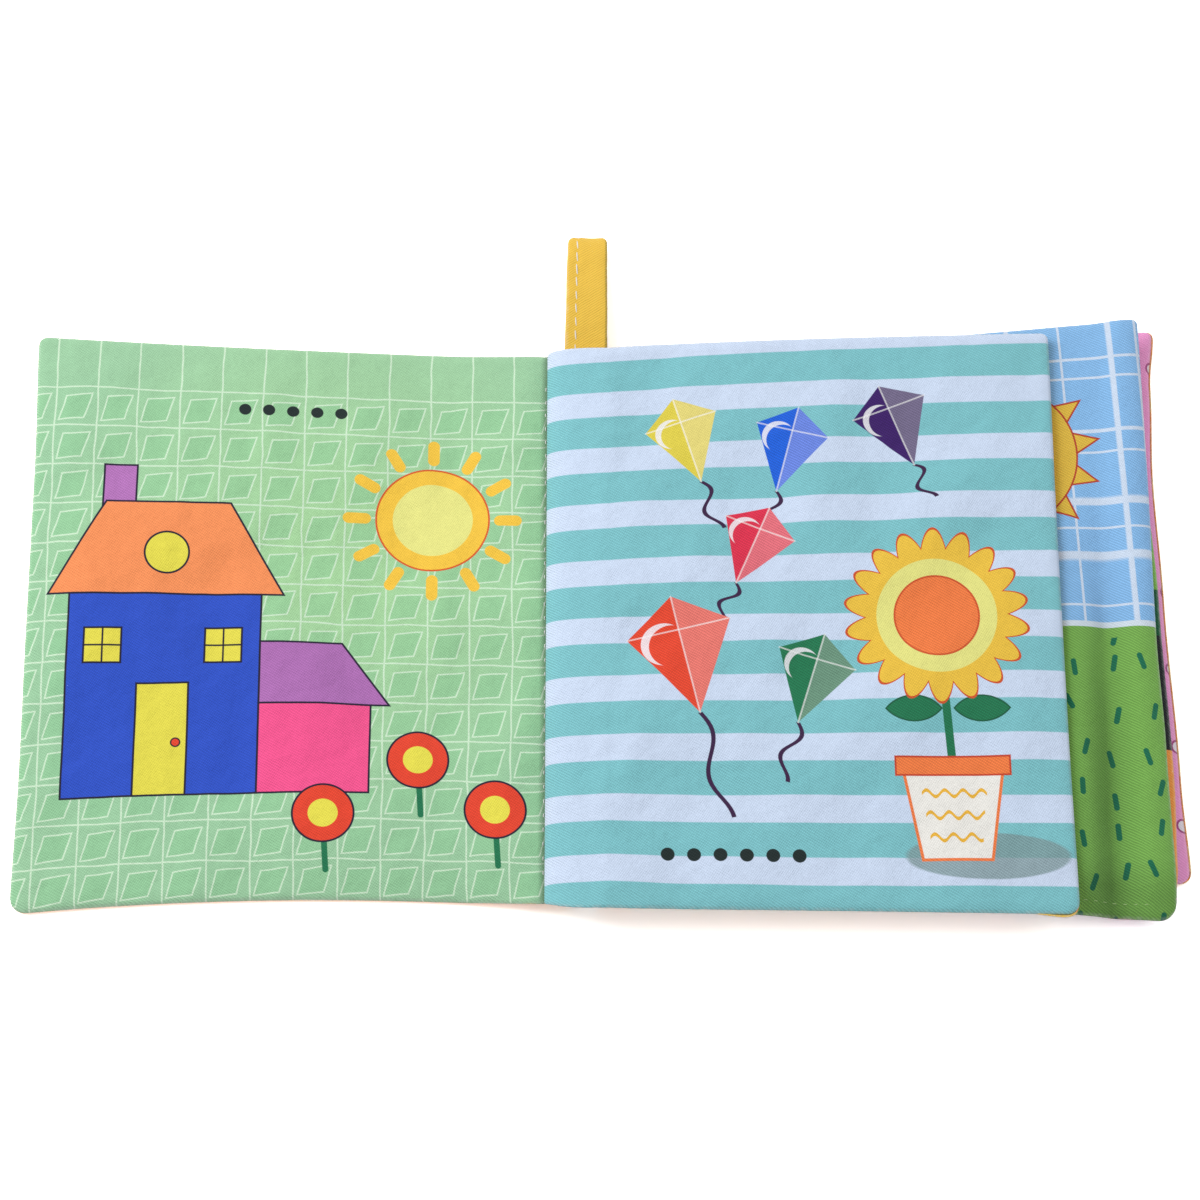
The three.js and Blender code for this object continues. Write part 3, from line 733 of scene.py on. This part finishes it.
# SECOND LEAF
# The widest leaf, made like the others. It shows beside the striped page as a strip of sky
# check over grass, and its free end curls up a little between a hollow and a soft crest.
def curl(x, y):
    """The hollow and the crests beside it run up the page and ease off at the foot, which turns down."""
    hollow_at, crest_at, inner_crest_at = 138.8, 147.0, 129.8
    from_hollow = x - hollow_at - fold_lean * y
    outside = from_hollow > 0
    hollow = -2.5 * bell(from_hollow, np.where(outside, 6.6, 4.8)) * deeper_at_foot(y)
    hollow -= 1.2 * bell(from_hollow, np.where(outside, 4.2, 3.2)) * ramp(25 - y, 75)
    crest = 1.3 * bell(x - crest_at, 4.6) * (0.85 + 0.15 * np.sin(y / 21.0))
    crest += 0.4 * bell(x - inner_crest_at, 3.2) * deeper_at_foot(y)
    foot_roll = 2.4 * ramp(-y - 69, 8) ** 1.5 + 1.6 * ramp(-y - 76.6, 4.4)
    return (hollow + crest) * (1 - 0.65 * ramp(-y - 73, 6)) - foot_roll * ramp(x - 96, 30) ** 1.5


second_leaf = dict(
    name="second_leaf", parent="third_leaf", side=1, middle=10.1, root=0.0, pad_start=8.0,
    crest=13.6, shoulder=13.1, reach=153.2, top=87.5, foot=-81.7,
    root_foot=-76.6, foot_bend=1.8, top_bend=1.3, top_dip=0.4, foot_dip=0.8, radius=5.0, top_radius=1.8,
    free_edge=((-81, 153.3), (-35, 152.8), (-5, 152.1), (45, 152.6), (88, 152.6)),
    seed=51, waves=0.2, sag=curl, filling_step=1.6,
)
sky = Print("sky_page_cloth", "8abeee")
sky_x, sky_y = sky.axis("X"), sky.axis("Y")
lean_x = sky.scaled(sky_y, 0.035, sky_x)
uneven_x = sky.scaled(sky.sine(lean_x, 0.33), 2.6, lean_x)
uneven_y = sky.scaled(sky.sine(sky_y, 0.27), 3.4, sky_y)
check = sky.either(sky.repeat(uneven_x, 11.5, 6.4), sky.repeat(uneven_y, 10.6, 2.0))
sky.ink(sky.less(check, 0.62), "d3e2f6", softness=0.3)
sun, sun_yellow = (112, 45), "e3bc45"
for ray in range(14):
    turn = math.tau * (ray + 0.35) / 14
    side_a, tip, side_b = around(*sun, 20, turn - 0.19), around(*sun, 28, turn), around(*sun, 20, turn + 0.19)
    sky.outlined(sky.polygon(side_a, tip, side_b), sun_yellow, line="b8402a", width=0.5)
sky.outlined(sky.disc(*sun, 21.5), sun_yellow, line="b8402a", width=0.5)
sky.ink(sky.disc(*sun, 15), "e9dc74")
for cloud_x, cloud_y in ((34, 46), (66, 30)):
    puffs = ((0, 0, 8), (9, 3, 9.5), (19, 0, 7.5))
    puffs = (sky.disc(cloud_x + x, cloud_y + y, radius) for x, y, radius in puffs)
    sky.ink(sky.either(*puffs, sky.box(cloud_x, cloud_y - 8, cloud_x + 19, cloud_y - 1)), "f4f7fb")
sky.ink(sky.math("ADD", sky_y, 3.6), "d9e6f2")
sky.ink(sky.math("ADD", sky_y, 5.2), "79b052")

# One tuft of grass in each cell, moved and leaned by chance.
tuft_cell = (9.6, 11.4, 1)
tuft_corner = sky.vector("SNAP", sky.at, tuft_cell)
chance = sky.node("ShaderNodeTexWhiteNoise", {"Vector": tuft_corner}, noise_dimensions="3D").outputs
scatter = sky.vector("SUBTRACT", chance["Color"], (0.5, 0.5, 0.5))
scatter = sky.vector("MULTIPLY", scatter, (4.2, 4.6, 0))
in_cell = sky.vector("SUBTRACT", sky.vector("SUBTRACT", sky.at, tuft_corner), (4.8, 5.7, 0))
tuft_at = sky.turned(sky.vector("SUBTRACT", in_cell, scatter), sky.scaled(chance["Value"], 0.8, -0.45))
tuft = sky.stroke(0, -1.7, 0, 1.7, 0.72, of=tuft_at)
sky.ink(sky.both(tuft, sky.math("ADD", sky_y, 8.0)), "146e50")

# Painted shade: a soft darker line down the hollow where the cloth folds, and a darker band along the
# turned-down foot, both where shade falls.
from_fold = sky.math("ABSOLUTE", sky.less(sky.scaled(sky_y, -fold_lean, sky_x), 137.6))
painted_fold_shade = sky.math("POWER", sky.scaled(from_fold, -1 / 11.0, 1.0, clamp=True), 1.6)
painted_fold_shade = sky.math("MULTIPLY", painted_fold_shade, 0.34)
painted_fold_shade = sky.math("MULTIPLY", painted_fold_shade, sky.scaled(sky_y, -1 / 70.0, 0.45, clamp=True))
painted_foot_shade = sky.math("MULTIPLY", sky.scaled(sky_y, -1 / 9.0, -7.6, clamp=True), 0.15)
sky.shade(sky.less(1.0, sky.math("ADD", painted_fold_shade, painted_foot_shade)))
second_back = Print("second_leaf_back_cloth", "eb8cbe")
second_back.ink(second_back.less(second_back.repeat(second_back.axis("X"), 15, 2), 3.1), "f7d7e8")
# The sky page lies in grazing light, so its ribs get stronger painted shade.
sew_leaf(second_leaf, sky.weave(painted_rib_shade=1.4), second_back.weave())

# FIRST LEAF
# The striped page on top of the stack, made like the others but narrower. Its root bulges to
# the left over the spine, folds back on itself beside the front cover and dips into the seam.
def gutter_line(leaf):
    """The strip of the first leaf: out of the seam to the left, round the fold and back over the spine."""
    corners = np.array([
        (leaf["root"], seam_top), (-1.46, 10.5), (-3.1, 11.3), (-5.7, 10.6), (-8.3, 9.1), (-9.8, 8.2),
        (-10.5, 8.5), (-10.7, 9.6), (-10.1, 11.0), (-8.3, 12.4), (-5.0, 13.5), (-1.0, 14.2), (2.6, 14.3),
        (leaf["pad_start"], leaf["middle"]),
    ])
    knots, fine = np.linspace(0, 1, len(corners)), np.linspace(0, 1, 46)
    line = np.stack([np.interp(fine, knots, corners[:, i]) for i in (0, 1)], axis=1)
    for _ in range(6):
        line[1:-1] = (line[:-2] + 2 * line[1:-1] + line[2:]) / 4
    return line


first_leaf = dict(
    name="first_leaf", parent="second_leaf", side=1, middle=14.2, root=-1.05, pad_start=6.0,
    strip_line=gutter_line, reach=127.0, top=81.5, foot=-81.3,
    root_top=77.0, root_foot=-79.6, top_dip=-0.3, foot_dip=0.2, radius=3.4, top_radius=2.0,
    free_edge=((-81, 127.0), (-30, 126.6), (20, 126.6), (80, 127.0)),
    tuck=((6, 9, 12, 15, 17, 18.5, 20.5), (0, 0.15, 0.55, 1.2, 1.7, 2.1, 3.0)), print_up=1.6,
    foot_peek=((115, 122, 126, 127), (0, 0.8, 0.7, 0)),
    seed=77, waves=0.8, spine_run=16, soft_root=6,
    turn=((-0.0104, 0, hinge_height * mm), (0.012, 0, hinge_height * mm)),
)
kites = Print("striped_page_cloth", "d0dff6", lean=-0.8)
kites.ink(kites.less(kites.repeat(kites.axis("Y"), 16.93, 4.0), 4.7), "7fc4cb", softness=0.3)

# A flower in a pot stands beside the kites.
orange, deep_orange = "f47f44", "d2552a"
ground_shadow = kites.vector("MULTIPLY", kites.vector("SUBTRACT", kites.at, (103, -68, 0)), (0.29, 1.0, 0))
kites.ink(kites.less(kites.vector("LENGTH", ground_shadow), 6.2), "7f9a9c", softness=0.4, strength=0.8)
kites.ink(kites.stroke(95, -42, 93, -10, 1.1), leaf_green)
for leaf_x in (94.5 - 9, 94.5 + 9):
    leaf_shape = kites.both(kites.disc(leaf_x, -34, 9.5), kites.disc(leaf_x, -22, 9.5))
    kites.outlined(leaf_shape, leaf_green, line="145a3c", width=0.4)
kites.outlined(kites.polygon((86, -69), (104, -69), (108, -45), (82, -45)), "f2f0ea", line=orange, width=0.8)
kites.outlined(kites.box(80, -46, 110, -41), orange, line="c8442a", width=0.5)
for row, wavy_y in enumerate((-51, -57, -63)):
    zigzag = kites.wavy(86.5 + row * 0.8, wavy_y, 17 - row * 1.6, turn=0, swing=0.9, wave=4.8, half_width=0.42)
    kites.ink(zigzag, "f0b93c")
flower_at = (93, -2)
flower_from = kites.vector("SUBTRACT", kites.at, (*flower_at, 0))
flower_angle = kites.math("ARCTAN2", kites.axis("Y", flower_from), kites.axis("X", flower_from))
petal = kites.math("ABSOLUTE", kites.sine(flower_angle, 9))
flower_shape = kites.less(kites.vector("LENGTH", flower_from), kites.scaled(petal, 5.5, 19.0))
kites.outlined(flower_shape, "f0c544", line=deep_orange, width=0.7)
kites.ink(kites.disc(*flower_at, 16), "e9e788")
kites.outlined(kites.disc(*flower_at, 11.2), orange, line=deep_orange, width=0.5)
page_at, kites.at = kites.at, kites.vector("WRAP", kites.at, c=(3.4, 3.4, 1))
seeds = kites.disc(1.7, 1.7, 0.75)
kites.at = page_at
kites.ink(kites.both(seeds, kites.disc(*flower_at, 9.4)), "73321e")


def kite(x, y, tall, wide, turn, code, tail):
    """A printed kite: four corners, a paler side, pale spars and a dark snaking tail."""
    c, s = math.cos(math.radians(turn)), math.sin(math.radians(turn))

    def at(px, py):
        return (x + px * c - py * s, y + px * s + py * c)

    foot, head = at(0, -tall * 0.62), at(0, tall * 0.38)
    right, left = at(wide / 2, tall * 0.1), at(-wide / 2, tall * 0.1)
    tail_shape = kites.wavy(*foot, tail, turn - 90, swing=1.9, wave=tail * 0.8, half_width=0.5)
    kites.ink(tail_shape, "3c1e46")
    kites.ink(kites.polygon(foot, right, head, left), code)
    kites.ink(kites.polygon(foot, right, head), "ffffff", strength=0.14)
    glint = kites.math("MULTIPLY", kites.disc(*at(-wide * 0.10, -tall * 0.03), wide * 0.22), -1.0)
    glint = kites.both(kites.disc(*at(-wide * 0.17, 0), wide * 0.22), glint)
    kites.ink(glint, "f4f4fa", strength=0.8)
    for start, end in ((foot, head), (left, right)):
        kites.ink(kites.stroke(*start, *end, 0.22), "ffffff", strength=0.5)


kite(27, 54, 26, 20, 16, "e3d24b", 15)
kite(56, 50, 25, 20, -16, "1b63df", 13)
kite(84, 56, 25, 21, 20, "3b1668", 11)
kite(46, 22, 24, 20, -24, "e2304f", 12)
kite(25, -8, 34, 28, 12, "e8482d", 30)
kite(60, -16, 26, 21, -18, "1f7a51", 17)
for dot in range(6):
    kites.ink(kites.disc(20 + 6.8 * dot, -68, 1.8), ink_dark)
first_back = Print("first_leaf_back_cloth", "f0c348")
first_back.at = first_back.vector("WRAP", first_back.at, c=(24, 24, 1))
first_back.ink(first_back.either(first_back.disc(6, 6, 3.0), first_back.disc(18, 18, 3.0)), "f49a3a")
sew_leaf(first_leaf, kites.weave(painted_rib_shade=1.1), first_back.weave())

# SPINE
# The flat strips of all five leaves are stacked, stitched through, and wrapped in a woven
# tape that runs the whole height of the book and is stitched to them along both sides.
tape_finish = Print("binding_tape_weave", "e6ebf2").weave(rib_pitch=0.9, rib_turn=0, rib_depth=0.08)
seam_finish = Print("sewn_edges_weave", "d6dde8").weave(rib_pitch=0.7, rib_turn=90, rib_depth=0.08)


def close_ends(piece, rows, columns):
    """Caps the two ends of a swept closed profile and welds its side seam."""
    work = bmesh.new()
    work.from_mesh(piece.data)
    work.verts.ensure_lookup_table()
    for column in (0, columns - 1):
        loop = [work.verts[row * columns + column] for row in range(rows - 1)]
        face = work.faces.new(loop if column == 0 else loop[::-1])
        face.smooth = False
    bmesh.ops.remove_doubles(work, verts=work.verts, dist=1e-6)
    bmesh.ops.triangulate(work, faces=[f for f in work.faces if len(f.verts) > 4])
    bmesh.ops.recalc_face_normals(work, faces=work.faces)
    work.to_mesh(piece.data)
    work.free()


def along_spine(name, profile, y_from, y_to, sway, finish):
    """A closed cloth profile in X and Z, swept along the spine with a slight hand-sewn unevenness."""
    steps = 120
    profile = np.array([*profile, profile[0]], float)
    px, py = np.meshgrid(profile[:, 0], np.linspace(y_from, y_to, steps), indexing="ij")
    pz = np.repeat(profile[:, 1][:, None], steps, axis=1)
    lifted = np.where(pz > 0.5, waves(px * 3, py, 14, 5) * sway, 0)
    points = np.stack([px + lifted * 0.6, py, np.maximum(pz + lifted * 0.5, above_table)], axis=2)
    place = np.stack([np.repeat(run_along(profile)[:, None], steps, axis=1), py, np.zeros_like(py)], axis=2)
    piece = grid_piece(name, points, place, finish)
    close_ends(piece, len(profile), steps)
    return piece


tape_out, tape_in, tape_rim = 3.5, 2.98, 7.15
tape_profile = [
    (-tape_out, 0.25), (-tape_out + 0.3, 0.0), (tape_out - 0.3, 0.0), (tape_out, 0.25), (tape_out, 3.4),
    (tape_out, 6.7), (tape_out - 0.26, tape_rim), (tape_in, 6.75), (tape_in, 3.4), (tape_in, 0.8),
    (-tape_in, 0.8), (-tape_in, 3.4), (-tape_in, 6.75), (-tape_out + 0.26, tape_rim), (-tape_out, 6.7),
    (-tape_out, 3.4),
]
tape = along_spine("spine_tape", tape_profile, -75.4, 78.2, 0.1, tape_finish)
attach(tape, "spine")
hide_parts("spine_binding")

layer_edge = ((0.42, 7.5), (0.4, 8.1), (0.2, 8.38), (-0.2, 8.38), (-0.4, 8.1), (-0.42, 7.5))
layer_step = 1.05
seam_profile = [(-2.6, 1.1), (2.6, 1.1)]
for layer in range(5):
    seam_profile += [(layer_step * (2 - layer) + aside, height) for aside, height in layer_edge]
seam = along_spine("sewn_strip_edges", seam_profile, -75.2, 78.0, 0.12, seam_finish)
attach(seam, "spine")
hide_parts("spine_seam")

# STITCHES
# Polyester sewing thread: two rows through the binding tape, small white stitches that show
# in the gutter beside the front cover, and a green row over the turned foot of the sky page.
def thread_print(name, code):
    """Twisted thread, sewn in single stitches."""
    return Print(name, code).weave(rib_pitch=0.25, rib_turn=40, rib_depth=0.05, sheen=0.3, roughness=0.6)


white_thread = thread_print("sewing_thread", "f3f0ee")
green_thread = thread_print("green_thread", "a4c77f")


def stitch_row(name, path, normals, finish, length, gap, width=0.34, slant=0.0):
    """A row of single stitches along a path, each a short thread that dips into the cloth at both ends."""
    rings, sides, rises, dips = 7, 6, 0.24, 0.14
    path, normals = np.array(path, float), np.array(normals, float)
    run = run_along(path)

    def read(line, reach):
        return np.array([np.interp(reach, run, line[:, i]) for i in range(3)])

    verts, faces = [], []
    for start in np.arange(gap, run[-1] - length - gap, length + gap):
        first = len(verts)
        for share in np.linspace(0, 1, rings):
            reach = start + length * share
            middle, normal = read(path, reach), read(normals, reach)
            normal /= np.linalg.norm(normal)
            along = read(path, reach + 0.3) - middle
            across = np.cross(normal, along / max(np.linalg.norm(along), 1e-6))
            hump = math.sin(math.pi * share)
            centre = middle + normal * (rises * hump - dips) + across * slant * (share - 0.5)
            radius = width / 2 * (0.45 + 0.55 * hump**0.5)
            for side in range(sides):
                turn = math.tau * side / sides
                verts.append(centre + radius * (across * math.cos(turn) + normal * math.sin(turn) * 0.8))
        for ring in range(rings - 1):
            for side in range(sides):
                a, b = first + ring * sides + side, first + ring * sides + (side + 1) % sides
                faces.append((a, b, b + sides, a + sides))
        faces.append(tuple(first + side for side in range(sides))[::-1])
        faces.append(tuple(first + (rings - 1) * sides + side for side in range(sides)))
    verts = np.array(verts)
    return cloth_piece(name, verts, faces, verts, np.full(len(verts), far_from_edge), finish)


for word, tape_side in (("left", -1), ("right", 1)):
    row_x, row_height = tape_side * (tape_out + 0.04), 4.6
    row_ends = [(row_x, -74, row_height), (row_x, 76, row_height)]
    outward = [(tape_side, 0, 0)] * 2
    row = stitch_row(f"tape_stitches_{word}", row_ends, outward, white_thread, length=2.4, gap=0.9)
    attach(row, "spine")

# The gutter row follows the column of the garden page's cloth that lies 11.5 mm from the spine.
gutter_face = leaf_surface(front_cover, leaf_layout(front_cover, 3.2, 2.0), 1)
middle_column = gutter_face.shape[1] // 2
gutter_path = gutter_face[np.argmin(np.abs(gutter_face[:, middle_column, 0] + 11.5))][2:-2]
gutter_stitches = stitch_row(
    "gutter_stitches", gutter_path, [(-0.2, 0, 1)] * len(gutter_path), white_thread,
    length=1.3, gap=2.6, width=0.3)
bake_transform(gutter_stitches)

# The foot row follows the line of the sky page's cloth that lies 76.2 mm below the middle.
sky_face = leaf_surface(second_leaf, leaf_layout(second_leaf, 1.6, 0.8), 1)
foot_line = sky_face[:, np.argmin(np.abs(sky_face[-20, :, 1] + 76.2))]
foot_path = foot_line[(foot_line[:, 0] > 60) & (foot_line[:, 0] < 149)]
foot_stitches = stitch_row(
    "sky_page_foot_stitches", foot_path, [(0, 0, 1)] * len(foot_path), green_thread,
    length=1.3, gap=1.5, width=0.26)
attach(foot_stitches, "second_leaf")

# HANGING LOOP
# A yellow cloth strap, folded lengthwise and topstitched near its left edge, doubled into a
# drop and caught at the top end of the spine.
loop_print = Print("loop_cloth", "ebc04a")
# Painted shade: an olive band darkens the strap's folded right edge, which turns away from the light.
loop_print.ink(loop_print.less(4.9, loop_print.axis("X")), "a8922c", softness=0.3, strength=0.7)
loop_finish = loop_print.weave(rib_pitch=0.62, rib_depth=0.05)
strap_width, strap_thickness, strap_round = 11.0, 1.0, 0.48
loop_start, loop_reach, loop_rise = spine_half + 0.3, 37.8, 7.2
loop_shares = [
    (0, 0.32), (0.3, 0.12), (0.6, 0), (0.85, 0), (0.965, 0.22), (0.965, 0.78), (0.85, 1), (0.6, 1),
    (0.3, 0.86), (0, 0.6),
]


def loop_curve(fine):
    """The strap's middle line, in Y and Z: out along the table, round the end and back above."""
    half = strap_thickness / 2
    corners = np.array([(loop_start + s * (loop_reach - half), half + h * loop_rise) for s, h in loop_shares])
    beyond = np.concatenate([[2 * corners[0] - corners[1]], corners, [2 * corners[-1] - corners[-2]]])
    line = []
    for k in range(1, len(beyond) - 2):
        p0, p1, p2, p3 = beyond[k - 1 : k + 3]
        for t in np.linspace(0, 1, fine, endpoint=False):
            square, cube = (2 * p0 - 5 * p1 + 4 * p2 - p3) * t**2, (3 * p1 - p0 - 3 * p2 + p3) * t**3
            line.append(0.5 * (2 * p1 + (p2 - p0) * t + square + cube))
    line.append(corners[-1])
    return np.array(line)


def strap_section():
    """Across the strap: a flat band with round edges, its points no further apart than 0.8 mm."""
    corners = []
    for corner_x, corner_z, first_turn in ((1, -1, -90), (1, 1, 0), (-1, 1, 90), (-1, -1, 180)):
        for step in range(5):
            turn = math.radians(first_turn + 90 * step / 4)
            aside = corner_x * (strap_width / 2 - strap_round) + strap_round * math.cos(turn)
            corners.append((aside, corner_z * 0.02 + (strap_round - 0.01) * math.sin(turn)))
    corners = np.array(corners)
    section = []
    for a, b in zip(corners, np.roll(corners, -1, axis=0)):
        parts = int(np.linalg.norm(b - a) // 0.8) + 1
        section += [a + (b - a) * k / parts for k in range(parts)]
    return np.array(section + section[:1])


loop_line, section = loop_curve(10), strap_section()
loop_y, loop_z, loop_run = loop_line[:, 0], loop_line[:, 1], run_along(loop_line)
tangent = np.gradient(loop_line, axis=0)
tangent /= np.linalg.norm(tangent, axis=1)[:, None]
normal_y, normal_z = -tangent[:, 1], tangent[:, 0]

# The strap narrows at its round end, slants a little at its right edge, and is drawn in
# along the stitches.
to_end = loop_y.max() - loop_y
end_near = np.clip(1 - to_end / 2.3, 0, 1)
narrowed = 1 - (1 - np.sqrt(1 - end_near**2)) * 1.9 / (strap_width / 2)
slanting = 0.9 * to_end / loop_reach
stitched_at, dent_depth = -strap_width * 0.25, 0.14
aside = section[:, 0][None, :] * narrowed[:, None]
aside = aside - np.clip(0.5 - aside / strap_width, 0, 1) * slanting[:, None]
section_z = section[:, 1][None, :]
height = section_z - np.sign(section_z) * bell(aside - stitched_at, 0.5) * dent_depth
run = loop_run[:, None] * np.ones_like(aside)
height = height + 0.1 * waves(aside, run, 9, 90) * (np.abs(height) > 0.2)
strap_points = np.stack([
    aside + 0.05 * np.sin(run / 3.1),
    loop_y[:, None] + normal_y[:, None] * height,
    np.maximum(loop_z[:, None] + normal_z[:, None] * height, above_table),
], axis=2).transpose(1, 0, 2)
strap_place = np.stack([aside, run, np.zeros_like(aside)], axis=2).transpose(1, 0, 2)
strap_edge = np.clip(strap_width / 2 - np.abs(aside), 0, far_from_edge).T + 0.35
strap = grid_piece("hanging_strap", strap_points, strap_place, loop_finish, strap_edge)
close_ends(strap, len(section), len(loop_line))
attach(strap, "spine")
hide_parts("hanging_loop")

stitch_path, stitch_normals = [], []
for k in np.where(loop_z > 3.5)[0]:
    outward = np.array([0, -normal_y[k], -normal_z[k]])
    if outward[2] < 0 and loop_z[k] > 5:
        outward = -outward
    stitch_normals.append(outward)
    stitch_path.append(np.array([stitched_at - 0.75 * slanting[k], loop_y[k], loop_z[k]]) + outward * 0.38)
loop_stitches = stitch_row(
    "loop_stitches", stitch_path, stitch_normals, white_thread,
    length=3.7, gap=0.15, width=0.38, slant=0.35)
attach(loop_stitches, "spine")

# FLOOR AND LIGHT
# A plain white table under soft, even studio light from above. The camera sees the table
# and the studio brighter than they light the book.
floor_mesh = bpy.data.meshes.new("table_top")
floor_mesh.from_pydata([(-3, -3, 0), (3, -3, 0), (3, 3, 0), (-3, 3, 0)], [], [(0, 1, 2, 3)])
floor = bpy.data.objects.new("table_top", floor_mesh)
bpy.context.scene.collection.objects.link(floor)
table = Finish(bpy.data.materials.new("table_white"))
ray_is = table.node("ShaderNodeLightPath").outputs
seen = table.math("MAXIMUM", ray_is["Is Camera Ray"], ray_is["Is Glossy Ray"])
seen = table.math("MAXIMUM", seen, ray_is["Is Transmission Ray"])
table_tone = table.mixed(seen, (0.86, 0.86, 0.86, 1), (2.3, 2.3, 2.3, 1))
floor_mesh.materials.append(table.finished("ShaderNodeBsdfDiffuse", {"Color": table_tone}))

world = bpy.data.worlds.new("studio")
bpy.context.scene.world = world
studio = Finish(world)
lit, added_for_camera = 0.46, 0.54
seen = studio.node("ShaderNodeLightPath").outputs["Is Camera Ray"]
studio_strength = studio.scaled(seen, added_for_camera, lit)
studio.finished(
    "ShaderNodeBackground", {"Color": (1, 1, 1, 1), "Strength": studio_strength}, "ShaderNodeOutputWorld")


def soft_lamp(name, place, size, power):
    """A large square lamp that faces the book."""
    data = bpy.data.lights.new(name, "AREA")
    data.size, data.energy = size, power
    lamp = bpy.data.objects.new(name, data)
    lamp.location = place
    lamp.rotation_euler = (-Vector(place)).to_track_quat("-Z", "Y").to_euler()
    bpy.context.scene.collection.objects.link(lamp)


soft_lamp("lamp_left", (-0.85, 0.42, 0.82), size=0.85, power=12.4)
soft_lamp("lamp_right", (0.85, 0.15, 1.1), size=0.9, power=3.9)
bpy.context.scene.view_settings.view_transform = "Standard"
